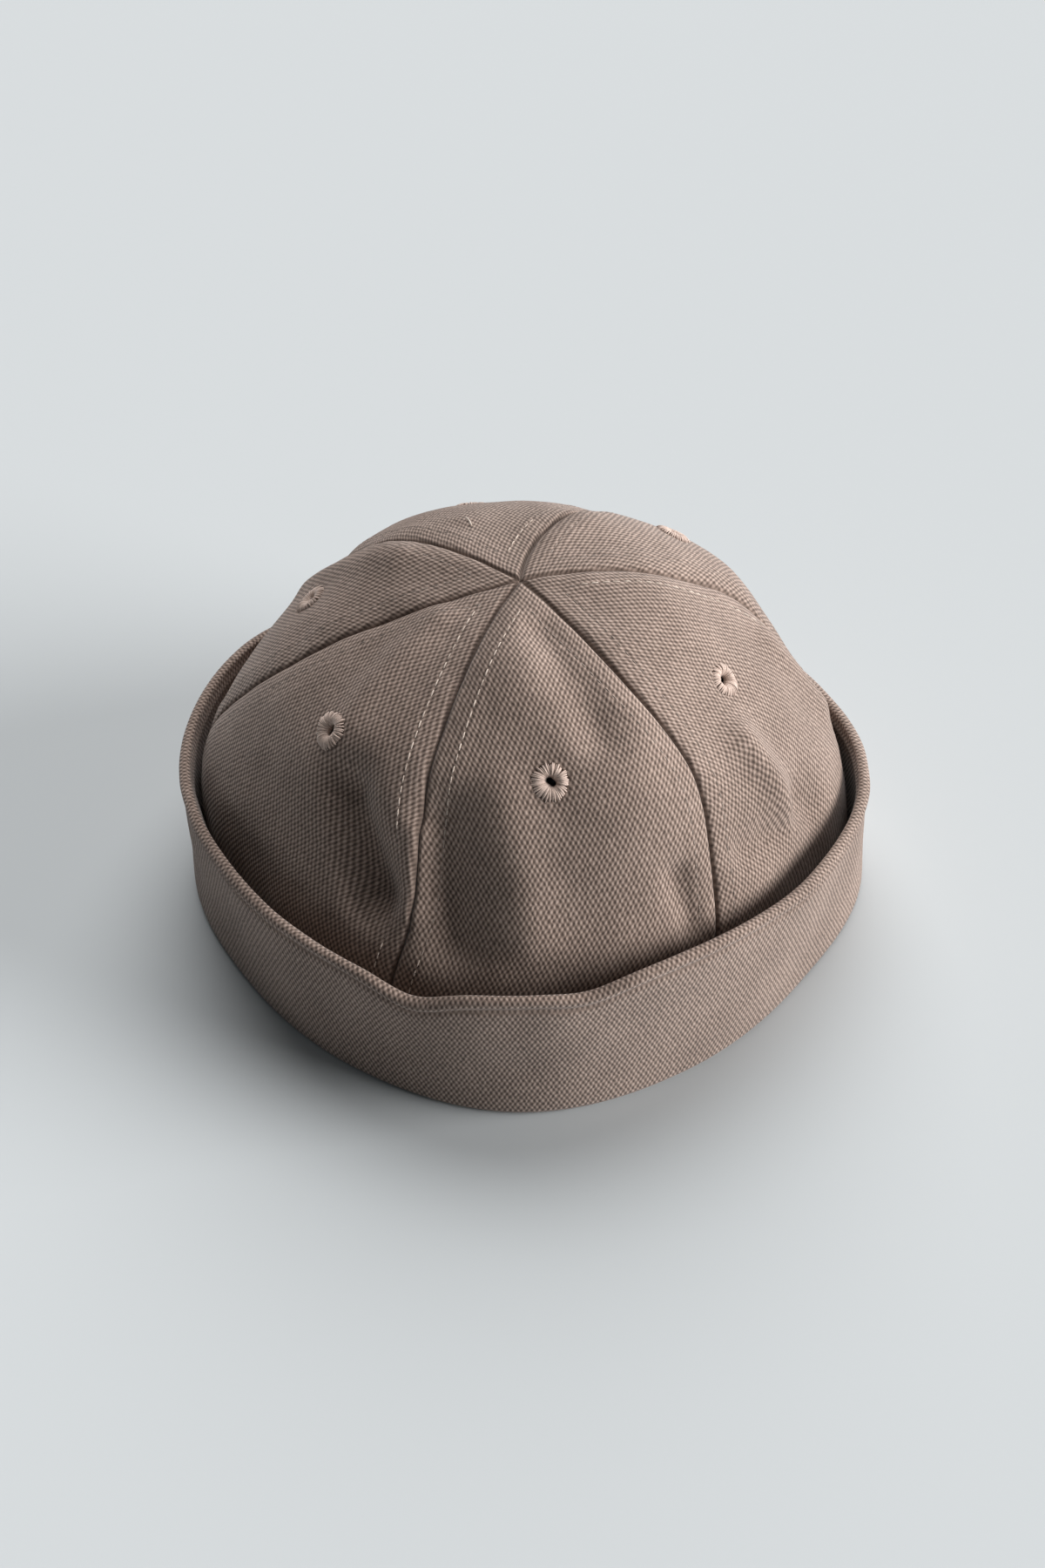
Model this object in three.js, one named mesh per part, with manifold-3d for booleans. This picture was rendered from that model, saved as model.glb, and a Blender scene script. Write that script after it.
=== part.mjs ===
// A brimless six-panel cap with a turned-up cuff and six stitched eyelets.
// Millimetres, +Z up, the cap's left and right along X, its front towards -Y.
import * as THREE from 'three';
import Module from 'manifold-3d';
import { mergeVertices } from 'three/addons/utils/BufferGeometryUtils.js';

// Sizes of the whole cap.
const BASE_RADIUS = 100;
const DOME_HEIGHT = 109;
const DOME_SPREAD = 1.09;
const DOME_RISE = 6.5;
const DOME_LEAN = 6;

// The crown's cloth.
const CLOTH = 1.5;
const CLEARANCE = 0.3;
const HEM_HEIGHT = 1.5;
const HEM_CLEARANCE = 0.5;
const CUFF_CLEARANCE = 2.6;
const CROWN_HOLE = 1.6;
const PANEL_PUFF = 1.6;

// The turned-up cuff, of doubled cloth, and the leg that is sewn to the crown's hem.
const CUFF_HEIGHT = 50;
const CUFF_FLARE = 2.5;
const CUFF_CLOTH = 3;
const CUFF_SLOT = 1;
const CUFF_LEG = 2;
const CUFF_LEG_HEIGHT = 11;
const CUFF_ROLL = 0.6;
const CUFF_ROLL_HEIGHT = 4;
const CUFF_FLOOR = 2.4;
const CUFF_CORNER = 1.5;
const FOLD_DEPTH = CUFF_CLOTH + CUFF_SLOT + CUFF_LEG;

// The stitched eyelets.
const EYELET_RADIUS = 6;
const EYELET_HOLE = 1.5;
const EYELET_PROUD = 0.45;
const EYELET_BEVEL = 0.7;

// How finely each surface is divided.
const PANEL_ACROSS = 12;
const PANEL_DOWN = 21;
const CUFF_AROUND = 64;
const EYELET_AROUND = 16;

// Angles from the vertical of the dome's four measured rings.
const DOME_ANGLES = [20, 40, 55, 70];
const WALL_ANGLE = 84;
const HEM_ANGLE = 92;

// Dome size on each ring, as a share of the plain dome, in twelve directions 30 degrees apart.
const DOME_SHARES = [
  // 20, 40, 55 and 70 degrees from the vertical
  [1.03, 0.96, 0.96, 0.975],
  [1.02, 1.005, 0.95, 0.89],
  [1.02, 0.97, 0.91, 0.85],
  [1.0, 0.965, 0.94, 0.83],
  [1.0, 0.98, 0.94, 0.86],
  [1.01, 0.972, 0.93, 0.88],
  [0.98, 0.985, 0.97, 0.965],
  [0.98, 1.0, 0.945, 0.91],
  [1.0, 1.01, 0.93, 0.93],
  [1.03, 0.97, 0.93, 0.94],
  [1.02, 1.01, 0.95, 0.94],
  [1.01, 0.96, 0.95, 0.93],
];

// The cuff in the same twelve directions.
const CUFF_SHARES = [
  // foot radius, flare and height, each as a share of its named size
  [1.095, -0.9, 0.91],
  [1.0, 0.7, 0.85],
  [0.96, 1.0, 0.82],
  [0.95, 1.0, 0.82],
  [0.96, 1.0, 0.84],
  [1.0, 1.4, 0.97],
  [1.045, 0.1, 1.0],
  [0.98, 1.1, 1.05],
  [0.98, 1.0, 1.01],
  [1.014, 0.4, 1.06],
  [0.99, 0.4, 1.11],
  [1.002, 0.7, 1.0],
];

// Low places in the rim: direction and half width in degrees, depth as a share of CUFF_HEIGHT.
const RIM_DIPS = [
  { direction: 252, width: 6.5, depth: 0.1 },
  { direction: 281, width: 6, depth: 0.044 },
];

// Direction of each seam, in degrees, at five angles from the vertical.
const SEAM_ANGLES = [0, 20, 40, 60, 80];
const SEAM_DIRECTIONS = {
  left: [196, 190, 187, 178, 175],
  frontLeft: [241, 245, 247, 249, 245],
  frontRight: [309, 309.5, 314, 309, 304],
  right: [373, 372, 378, 369, 362],
  back: [445, 428, 422, 420, 418],
  backLeft: [502, 501.5, 499, 494, 490],
};

// Each panel lies between two seams; its eyelet's angle from the vertical and direction.
const PANELS = [
  { name: 'panel_front', from: 'frontLeft', to: 'frontRight', eyelet: [36, 277.5] },
  { name: 'panel_right', from: 'frontRight', to: 'right', eyelet: [36.5, 343.5] },
  { name: 'panel_back_right', from: 'right', to: 'back', eyelet: [35, 42] },
  { name: 'panel_back_left', from: 'back', to: 'backLeft', eyelet: [41, 103] },
  { name: 'panel_left', from: 'backLeft', to: 'left', eyelet: [38, 163.5] },
  { name: 'panel_front_left', from: 'left', to: 'frontLeft', eyelet: [38, 217] },
];

// Soft folds and dents: start and end as [angle from the vertical, direction], in degrees;
// height (negative for a dent) and half width as shares of BASE_RADIUS.
const FOLDS = [
  { start: [12, 284], end: [30, 293], height: -0.03, width: 0.065 },
  { start: [43, 252], end: [62, 258], height: -0.055, width: 0.08 },
  { start: [43, 226], end: [57, 239], height: -0.07, width: 0.075 },
  { start: [46, 247.5], end: [58, 248], height: 0.02, width: 0.05 },
  { start: [38, 267], end: [60, 272], height: 0.02, width: 0.08 },
  { start: [15, 209], end: [35, 219], height: 0.02, width: 0.06 },
  { start: [22, 155], end: [44, 152], height: 0.02, width: 0.06 },
  { start: [44, 332.5], end: [58, 332], height: 0.035, width: 0.06 },
  { start: [60, 337], end: [64, 340], height: -0.04, width: 0.07 },
  { start: [58, 319], end: [60, 328], height: -0.03, width: 0.06 },
  { start: [55, 301.5], end: [64, 302], height: -0.025, width: 0.045 },
  { start: [46, 8], end: [60, 4], height: 0.025, width: 0.07 },
];

const radians = (degrees) => (degrees * Math.PI) / 180;

// Smooth closed curve through twelve values a twelfth of a turn apart.
function around(table, column, direction) {
  const x = ((((direction % 360) + 360) % 360) / 30);
  const i = Math.floor(x);
  const t = x - i;
  const [a, b, c, d] = [-1, 0, 1, 2].map((step) => table[(i + step + 12) % 12][column]);
  return b + 0.5 * t * (c - a + t * (2 * a - 5 * b + 4 * c - d + t * (3 * (b - c) + d - a)));
}

// Cubic from p to q over a step of the given length, with the slopes at both ends.
function cubic(p, q, slopeP, slopeQ, step, t) {
  const t2 = t * t;
  const t3 = t2 * t;
  return (2 * t3 - 3 * t2 + 1) * p + (t3 - 2 * t2 + t) * step * slopeP
    + (3 * t2 - 2 * t3) * q + (t3 - t2) * step * slopeQ;
}

// Foot radius, rim radius and rim height of the cuff's outer face in one direction.
function cuffAt(direction) {
  const foot = BASE_RADIUS * around(CUFF_SHARES, 0, direction);
  const rim = foot + CUFF_FLARE * around(CUFF_SHARES, 1, direction);
  let height = around(CUFF_SHARES, 2, direction);
  for (const dip of RIM_DIPS) {
    const turn = ((((direction - dip.direction + 180) % 360) + 360) % 360) - 180;
    height -= dip.depth * Math.exp(-((turn / dip.width) ** 2));
  }
  height *= CUFF_HEIGHT;
  return { foot, rim, height };
}

// Points of the plain dome on its rings, from the top to the hem, in one direction. The last
// two rings are one above the other, inside the cuff's leg.
function ringPoints(direction) {
  const turn = radians(direction);
  const { foot, rim } = cuffAt(direction);
  const room = Math.min(foot, rim) - CUFF_CLOTH - CUFF_CLEARANCE;
  const points = [0, ...DOME_ANGLES].map((angle, index) => {
    const share = index === 0 ? 1 : around(DOME_SHARES, index - 1, direction);
    const out = BASE_RADIUS * DOME_SPREAD * share * Math.sin(radians(angle));
    const up = DOME_RISE + DOME_HEIGHT * share * Math.cos(radians(angle));
    const point = new THREE.Vector2(out * Math.cos(turn), out * Math.sin(turn) + DOME_LEAN);
    point.clampLength(0, room);
    return new THREE.Vector3(point.x, point.y, up);
  });
  const hem = foot - FOLD_DEPTH - HEM_CLEARANCE;
  for (const up of [CUFF_LEG_HEIGHT + CLOTH, HEM_HEIGHT]) {
    points.push(new THREE.Vector3(hem * Math.cos(turn), hem * Math.sin(turn), up));
  }
  return points;
}

// The plain dome at an angle from the vertical and a direction, both in degrees.
function domePoint(angle, direction) {
  const knots = [0, ...DOME_ANGLES, WALL_ANGLE, HEM_ANGLE];
  const points = ringPoints(direction);
  const last = knots.length - 1;
  let i = 0;
  while (i < last - 1 && angle > knots[i + 1]) {
    i += 1;
  }
  const slope = (k) => {
    if (k === 0) {
      const opposite = ringPoints(direction + 180)[1];
      return points[1].clone().sub(opposite).divideScalar(2 * knots[1]);
    }
    const [above, below] = [k - 1, Math.min(k + 1, last)];
    const rate = points[below].clone().sub(points[above]).divideScalar(knots[below] - knots[above]);
    return k < last - 1 ? rate : new THREE.Vector3(0, 0, rate.z);
  };
  const step = knots[i + 1] - knots[i];
  const t = (angle - knots[i]) / step;
  const [p, q, m, n] = [points[i], points[i + 1], slope(i), slope(i + 1)];
  return new THREE.Vector3(
    cubic(p.x, q.x, m.x, n.x, step, t),
    cubic(p.y, q.y, m.y, n.y, step, t),
    cubic(p.z, q.z, m.z, n.z, step, t),
  );
}

// Direction of a seam at an angle from the vertical.
function seamDirection(name, angle) {
  const values = SEAM_DIRECTIONS[name];
  const last = values.length - 1;
  const spacing = SEAM_ANGLES[1] - SEAM_ANGLES[0];
  const i = Math.min(Math.floor(angle / spacing), last - 1);
  const slope = (k) => {
    const [low, high] = [Math.max(k - 1, 0), Math.min(k + 1, last)];
    return (values[high] - values[low]) / (SEAM_ANGLES[high] - SEAM_ANGLES[low]);
  };
  const t = Math.min(angle / spacing - i, 1);
  return cubic(values[i], values[i + 1], slope(i), slope(i + 1), spacing, t);
}

// Folds as straight lines in space between two points of the dome.
const foldLines = FOLDS.map((fold) => ({
  line: new THREE.Line3(domePoint(...fold.start), domePoint(...fold.end)),
  height: fold.height * BASE_RADIUS,
  width: fold.width * BASE_RADIUS,
}));

// How much a displacement counts at an angle: all of it on the dome, none at the hem.
function dying(angle) {
  return 1 - THREE.MathUtils.smoothstep(angle, 58, 78);
}

// The crown's outer surface. share runs from -1 to 1 between the panel's two seams.
function crownPoint(panel, angle, share, inset = 0) {
  const from = seamDirection(panel.from, angle);
  let to = seamDirection(panel.to, angle);
  while (to < from) {
    to += 360;
  }
  const reach = BASE_RADIUS * Math.sin(radians(Math.min(angle, 90)));
  const edge = inset === 0 ? 0 : (inset / reach) * (180 / Math.PI);
  const direction = (from + to) / 2 + share * ((to - from) / 2 - edge);
  const point = domePoint(angle, direction);
  const outward = point.clone().sub(new THREE.Vector3(0, DOME_LEAN, DOME_RISE)).normalize();
  const nearest = new THREE.Vector3();
  let lift = PANEL_PUFF * (1 - share ** 4) * THREE.MathUtils.smoothstep(angle, 0, 25);
  for (const fold of foldLines) {
    fold.line.closestPointToPoint(point, true, nearest);
    lift += fold.height * Math.exp(-((nearest.distanceTo(point) / fold.width) ** 2));
  }
  return point.addScaledVector(outward, lift * dying(angle));
}

// Outward normal of the crown, from two short steps along the surface.
function crownNormal(panel, angle, share, inset) {
  const step = 0.4;
  const down = crownPoint(panel, Math.min(angle + step, HEM_ANGLE), share, inset)
    .sub(crownPoint(panel, Math.min(angle + step, HEM_ANGLE) - 2 * step, share, inset));
  const side = Math.min(Math.max(share, -1 + 0.02), 1 - 0.02);
  const across = crownPoint(panel, angle, side + 0.02, inset)
    .sub(crownPoint(panel, angle, side - 0.02, inset));
  return down.cross(across).normalize();
}

// A closed mesh from a grid of points; the rows close on themselves, the ends are capped.
function shellGeometry(outer, inner) {
  const rows = outer.length;
  const columns = outer[0].length;
  const points = [...outer.flat(), ...inner.flat()];
  const index = [];
  const quad = (a, b, c, d) => index.push(a, b, c, a, c, d);
  const at = (r, c) => r * columns + c;
  const under = (r, c) => rows * columns + at(r, c);
  for (let r = 0; r < rows - 1; r += 1) {
    for (let c = 0; c < columns - 1; c += 1) {
      quad(at(r, c), at(r + 1, c), at(r + 1, c + 1), at(r, c + 1));
      quad(under(r, c), under(r, c + 1), under(r + 1, c + 1), under(r + 1, c));
    }
    quad(at(r, 0), under(r, 0), under(r + 1, 0), at(r + 1, 0));
    quad(at(r, columns - 1), at(r + 1, columns - 1), under(r + 1, columns - 1), under(r, columns - 1));
  }
  for (let c = 0; c < columns - 1; c += 1) {
    quad(at(0, c), at(0, c + 1), under(0, c + 1), under(0, c));
    quad(at(rows - 1, c), under(rows - 1, c), under(rows - 1, c + 1), at(rows - 1, c + 1));
  }
  return indexedGeometry(points, index);
}

// A closed ring from sections of equal length, each a closed loop of points.
function ringGeometry(sections) {
  const count = sections.length;
  const size = sections[0].length;
  const index = [];
  for (let s = 0; s < count; s += 1) {
    const next = (s + 1) % count;
    for (let p = 0; p < size; p += 1) {
      const after = (p + 1) % size;
      const [a, b, c, d] = [s * size + p, next * size + p, next * size + after, s * size + after];
      index.push(a, b, c, a, c, d);
    }
  }
  return indexedGeometry(sections.flat(), index);
}

function indexedGeometry(points, index) {
  const geometry = new THREE.BufferGeometry();
  geometry.setAttribute('position', new THREE.Float32BufferAttribute(points.flatMap((p) => p.toArray()), 3));
  geometry.setIndex(index);
  geometry.computeVertexNormals();
  return geometry;
}

const wasm = await Module();
wasm.setup();

function toSolid(geometry) {
  const bare = geometry.clone();
  bare.deleteAttribute('normal');
  bare.deleteAttribute('uv');
  const merged = mergeVertices(bare, 1e-4);
  return new wasm.Manifold(new wasm.Mesh({
    numProp: 3,
    vertProperties: new Float32Array(merged.attributes.position.array),
    triVerts: new Uint32Array(merged.index.array),
  }));
}

function fromSolid(solid) {
  const mesh = solid.getMesh();
  const geometry = new THREE.BufferGeometry();
  geometry.setAttribute('position', new THREE.BufferAttribute(new Float32Array(mesh.vertProperties), 3));
  geometry.setIndex(new THREE.BufferAttribute(new Uint32Array(mesh.triVerts), 1));
  geometry.computeVertexNormals();
  return geometry;
}

// Middle of the cloth under a panel's eyelet, and the turn from +Z to the cloth's normal.
function eyeletSeat(panel) {
  const [angle, direction] = panel.eyelet;
  const from = seamDirection(panel.from, angle);
  let to = seamDirection(panel.to, angle);
  while (to < from) {
    to += 360;
  }
  let turn = direction;
  while (turn < from) {
    turn += 360;
  }
  const share = (2 * turn - from - to) / (to - from);
  const normal = crownNormal(panel, angle, share, 0);
  const centre = crownPoint(panel, angle, share).addScaledVector(normal, -CLOTH / 2);
  const rotation = new THREE.Quaternion().setFromUnitVectors(new THREE.Vector3(0, 0, 1), normal);
  return { centre, rotation };
}

// One crown panel: a cloth shell between two seams, with a round hole for its eyelet.
function panelGeometry(panel) {
  const first = (CROWN_HOLE / (BASE_RADIUS * DOME_SPREAD)) * (180 / Math.PI);
  const inset = CLEARANCE / 2;
  const outer = [];
  const inner = [];
  for (let r = 0; r <= PANEL_DOWN; r += 1) {
    const angle = first + (HEM_ANGLE - first) * (r / PANEL_DOWN);
    const outerRow = [];
    const innerRow = [];
    for (let c = 0; c <= PANEL_ACROSS; c += 1) {
      const share = -1 + (2 * c) / PANEL_ACROSS;
      const point = crownPoint(panel, angle, share, inset);
      const normal = crownNormal(panel, angle, share, inset);
      outerRow.push(point);
      innerRow.push(point.clone().addScaledVector(normal, -CLOTH));
    }
    outer.push(outerRow);
    inner.push(innerRow);
  }
  const { centre, rotation } = eyeletSeat(panel);
  const hole = new THREE.CylinderGeometry(
    EYELET_RADIUS + CLEARANCE,
    EYELET_RADIUS + CLEARANCE,
    8 * CLOTH,
    EYELET_AROUND,
  );
  hole.rotateX(Math.PI / 2);
  hole.applyQuaternion(rotation);
  hole.translate(centre.x, centre.y, centre.z);
  return fromSolid(toSolid(shellGeometry(outer, inner)).subtract(toSolid(hole)));
}

// The eyelet: a ring of thread round a small hole, standing proud of both faces of the cloth.
function eyeletGeometry() {
  const half = CLOTH / 2 + EYELET_PROUD;
  const flat = half - EYELET_BEVEL * 0.6;
  const profile = [
    [EYELET_HOLE, -flat],
    [EYELET_HOLE + EYELET_BEVEL, -half],
    [EYELET_RADIUS - EYELET_BEVEL, -half],
    [EYELET_RADIUS, -flat],
    [EYELET_RADIUS, flat],
    [EYELET_RADIUS - EYELET_BEVEL, half],
    [EYELET_HOLE + EYELET_BEVEL, half],
    [EYELET_HOLE, flat],
  ];
  const sections = [];
  for (let s = 0; s < EYELET_AROUND; s += 1) {
    const turn = (s / EYELET_AROUND) * 2 * Math.PI;
    sections.push(profile.map(([out, up]) => (
      new THREE.Vector3(out * Math.cos(turn), out * Math.sin(turn), up)
    )));
  }
  return ringGeometry(sections);
}

// The cuff's section in one direction: outer leg up to a rolled rim, a flat foot, a short inner leg.
function cuffSection(direction) {
  const { foot, rim, height } = cuffAt(direction);
  const face = (share) => foot + (rim - foot) * share;
  const leg = foot - FOLD_DEPTH;
  const roll = height - CUFF_ROLL_HEIGHT;
  return [
    [foot - CUFF_CORNER, 0],
    [foot - 0.3 * CUFF_CORNER, 0.3 * CUFF_CORNER],
    [foot, CUFF_CORNER],
    [face(0.3), 0.3 * height],
    [face(0.65), 0.65 * height],
    [face(roll / height), roll],
    [rim + CUFF_ROLL, roll + 0.3 * CUFF_ROLL_HEIGHT],
    [rim + CUFF_ROLL, roll + 0.8 * CUFF_ROLL_HEIGHT],
    [rim - 0.25 * CUFF_CLOTH, height],
    [rim - 0.75 * CUFF_CLOTH, height],
    [rim - CUFF_CLOTH, roll + 0.8 * CUFF_ROLL_HEIGHT],
    [face(0.5) - CUFF_CLOTH, 0.5 * height],
    [foot - CUFF_CLOTH, CUFF_FLOOR + 0.2 * CUFF_SLOT],
    [foot - CUFF_CLOTH - CUFF_SLOT, CUFF_FLOOR],
    [foot - CUFF_CLOTH - CUFF_SLOT, CUFF_LEG_HEIGHT],
    [leg, CUFF_LEG_HEIGHT],
    [leg, 0.5 * CUFF_CORNER],
    [leg + 0.5 * CUFF_CORNER, 0],
  ].map(([out, up]) => {
    const turn = radians(direction);
    return new THREE.Vector3(out * Math.cos(turn), out * Math.sin(turn), up);
  });
}

function cuffGeometry() {
  const sections = [];
  for (let s = 0; s < CUFF_AROUND; s += 1) {
    sections.push(cuffSection((360 * s) / CUFF_AROUND));
  }
  return ringGeometry(sections);
}

function named(name, geometry, color) {
  const material = new THREE.MeshStandardMaterial({ color, roughness: 0.9, metalness: 0 });
  material.name = name;
  const mesh = new THREE.Mesh(geometry, material);
  mesh.name = name;
  return mesh;
}

const CANVAS = 0x8b7d72;
const THREAD = 0xc9aea1;

const cap = new THREE.Group();
cap.name = 'docker_cap';

for (const panel of PANELS) {
  cap.add(named(panel.name, panelGeometry(panel), CANVAS));
}
cap.add(named('cuff', cuffGeometry(), CANVAS));
for (const panel of PANELS) {
  const eyelet = named(panel.name.replace('panel', 'eyelet'), eyeletGeometry(), THREAD);
  const { centre, rotation } = eyeletSeat(panel);
  eyelet.position.copy(centre);
  eyelet.quaternion.copy(rotation);
  cap.add(eyelet);
}

// The cap stands on its cuff with the middle of its outline over the origin.
const middle = new THREE.Box3().setFromObject(cap, true).getCenter(new THREE.Vector3());
for (const piece of cap.children) {
  piece.position.x -= middle.x;
  piece.position.y -= middle.y;
}

export default cap;
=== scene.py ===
import bpy
import numpy as np
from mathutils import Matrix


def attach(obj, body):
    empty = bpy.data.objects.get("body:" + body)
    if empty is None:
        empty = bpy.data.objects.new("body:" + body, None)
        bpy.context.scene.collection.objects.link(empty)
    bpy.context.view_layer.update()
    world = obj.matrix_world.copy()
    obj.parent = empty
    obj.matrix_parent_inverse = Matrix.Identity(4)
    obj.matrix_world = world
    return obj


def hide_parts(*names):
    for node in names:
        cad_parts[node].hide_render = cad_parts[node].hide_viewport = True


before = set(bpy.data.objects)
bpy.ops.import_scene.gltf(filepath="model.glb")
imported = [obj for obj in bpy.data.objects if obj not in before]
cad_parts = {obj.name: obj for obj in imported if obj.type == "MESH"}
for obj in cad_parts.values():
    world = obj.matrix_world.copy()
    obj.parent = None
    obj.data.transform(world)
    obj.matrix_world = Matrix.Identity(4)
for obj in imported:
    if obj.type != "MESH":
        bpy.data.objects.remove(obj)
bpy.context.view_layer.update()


# ---- Crown panels
# Six wedge-shaped panels of brown plain-weave canvas, sewn edge to edge from the top to the hem.
# The cloth is soft, so the crown sags into broad folds, and each seam pulls a narrow groove.

# Lengths are in metres and angles in degrees.
BASE_RADIUS = 0.100
DOME_HEIGHT = 0.109
DOME_SPREAD = 1.09
DOME_RISE = 0.0065
DOME_LEAN = 0.006
CLOTH = 0.0015
HEM_HEIGHT = 0.0015
HEM_CLEARANCE = 0.0005
CUFF_CLEARANCE = 0.0026
PANEL_PUFF = 0.0016
PUFF_STARTS = 25
SEAM_GAP = 0.00012
# Puff and folds die out between these angles from the vertical, down behind the cuff.
FOLDS_END = (58, 78)

# Beside a seam the turned-in edges raise the cloth. The rise starts and ends over these distances
# from the seam. The row of stitches and the seam itself pull the cloth in, and it puckers.
TURNING_RAISE = 0.00028
TURNING_STARTS = (0.0004, 0.0018)
TURNING_ENDS = (0.0060, 0.0095)
STITCH_OFFSET = 0.006
STITCH_PULL = 0.00016
STITCH_PULL_WIDTH = 0.0006
GROOVE_DEPTH = 0.0008
GROOVE_WIDTH = 0.00045
PUCKER = 0.00028
PUCKER_SIZE = 0.0065
PUCKER_OFFSET = 0.004
PUCKER_WIDTH = 0.005
# Small unevenness all over the cloth: height and size.
SAG = (0.0005, 0.020)
CRUMPLE = (0.00022, 0.007)

CUFF_HEIGHT = 0.050
CUFF_FLARE = 0.0025
CUFF_CLOTH = 0.003
CUFF_SLOT = 0.001
CUFF_LEG = 0.002
CUFF_LEG_HEIGHT = 0.011
CUFF_ROLL = 0.0006
CUFF_ROLL_HEIGHT = 0.004
CUFF_FLOOR = 0.0024
CUFF_CORNER = 0.0015
FOLD_DEPTH = CUFF_CLOTH + CUFF_SLOT + CUFF_LEG
# Low places in the rim: direction and half width in degrees, depth.
RIM_DIPS = [(252, 6.5, 0.005), (281, 6, 0.0022)]

# Rings of the dome, as angles from the vertical; the last two stand inside the cuff's leg.
RING_ANGLES = np.array([0, 20, 40, 55, 70, 84, 92.0])
HEM_ANGLE = RING_ANGLES[-1]

# Dome size on the rings at 20, 40, 55 and 70 degrees, in twelve directions 30 degrees apart.
DOME_SHARES = np.array([
    [1.03, 0.96, 0.96, 0.975],
    [1.02, 1.005, 0.95, 0.89],
    [1.02, 0.97, 0.91, 0.85],
    [1.0, 0.965, 0.94, 0.83],
    [1.0, 0.98, 0.94, 0.86],
    [1.01, 0.972, 0.93, 0.88],
    [0.98, 0.985, 0.97, 0.965],
    [0.98, 1.0, 0.945, 0.91],
    [1.0, 1.01, 0.93, 0.93],
    [1.03, 0.97, 0.93, 0.94],
    [1.02, 1.01, 0.95, 0.94],
    [1.01, 0.96, 0.95, 0.93],
])

# Cuff in the same directions: foot radius, flare and height, each as a share of its size.
CUFF_SHARES = np.array([
    [1.095, -0.9, 0.91],
    [1.0, 0.7, 0.85],
    [0.96, 1.0, 0.82],
    [0.95, 1.0, 0.82],
    [0.96, 1.0, 0.84],
    [1.0, 1.4, 0.97],
    [1.045, 0.1, 1.0],
    [0.98, 1.1, 1.05],
    [0.98, 1.0, 1.01],
    [1.014, 0.4, 1.06],
    [0.99, 0.4, 1.11],
    [1.002, 0.7, 1.0],
])

# Direction of each seam at 0, 20, 40, 60 and 80 degrees from the vertical.
SEAM_STEP = 20
SEAMS = {
    "left": [196, 190, 187, 178, 175],
    "front_left": [241, 245, 247, 249, 245],
    "front_right": [309, 309.5, 314, 309, 304],
    "right": [373, 372, 378, 369, 362],
    "back": [445, 428, 422, 420, 418],
    "back_left": [502, 501.5, 499, 494, 490],
}

# Panel, the seams on its two sides, and its eyelet's angle and direction.
PANELS = [
    ("front", "front_left", "front_right", (36, 277.5)),
    ("right", "front_right", "right", (36.5, 343.5)),
    ("back_right", "right", "back", (35, 402)),
    ("back_left", "back", "back_left", (41, 463)),
    ("left", "back_left", "left", (38, 523.5)),
    ("front_left", "left", "front_left", (38, 217)),
]

# Folds: start and end as (angle, direction), height and half width as shares of BASE_RADIUS.
FOLDS = [
    ((12, 284), (30, 293), -0.025, 0.070),
    ((43, 252), (62, 258), -0.055, 0.080),
    ((44, 229), (58, 241), -0.095, 0.072),
    ((46, 247.5), (58, 248), 0.028, 0.048),
    ((38, 267), (60, 272), 0.020, 0.080),
    ((15, 209), (35, 219), 0.020, 0.060),
    ((22, 155), (44, 152), 0.020, 0.060),
    ((44, 332.5), (58, 332), 0.035, 0.060),
    ((60, 337), (64, 340), -0.040, 0.070),
    ((58, 319), (60, 328), -0.030, 0.060),
    ((55, 301.5), (64, 302), -0.025, 0.045),
    ((46, 8), (60, 4), 0.025, 0.070),
]


def around(column, direction):
    """Closed Catmull-Rom curve through twelve values, each 30 degrees after the last."""
    x = np.mod(direction, 360) / 30
    i = np.floor(x).astype(int)
    t = x - i
    a, b, c, d = (column[(i + step) % 12] for step in (-1, 0, 1, 2))
    return b + 0.5 * t * (c - a + t * (2 * a - 5 * b + 4 * c - d + t * (3 * (b - c) + d - a)))


def hermite(p, q, slope_p, slope_q, step, t):
    """Cubic from p to q over step, with the slopes at its ends; t runs from 0 to 1."""
    return (
        (2 * t**3 - 3 * t**2 + 1) * p
        + (t**3 - 2 * t**2 + t) * step * slope_p
        + (3 * t**2 - 2 * t**3) * q
        + (t**3 - t**2) * step * slope_q
    )


def smoothstep(low, high, x):
    """0 below low, 1 above high, and 3x^2 - 2x^3 between them."""
    x = np.clip((x - low) / (high - low), 0, 1)
    return x * x * (3 - 2 * x)


def heading(direction):
    """Unit vector on the floor in a direction given in degrees."""
    turn = np.radians(direction)
    return np.stack([np.cos(turn), np.sin(turn), np.zeros_like(turn)], -1)


def cuff_at(direction):
    """Foot radius, rim radius and rim height: shares of their sizes, less the bell-shaped dips."""
    foot = BASE_RADIUS * around(CUFF_SHARES[:, 0], direction)
    rim = foot + CUFF_FLARE * around(CUFF_SHARES[:, 1], direction)
    height = CUFF_HEIGHT * around(CUFF_SHARES[:, 2], direction)
    for middle, width, depth in RIM_DIPS:
        turn = np.mod(direction - middle + 180, 360) - 180
        height = height - depth * np.exp(-((turn / width) ** 2))
    return foot, rim, height


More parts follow.
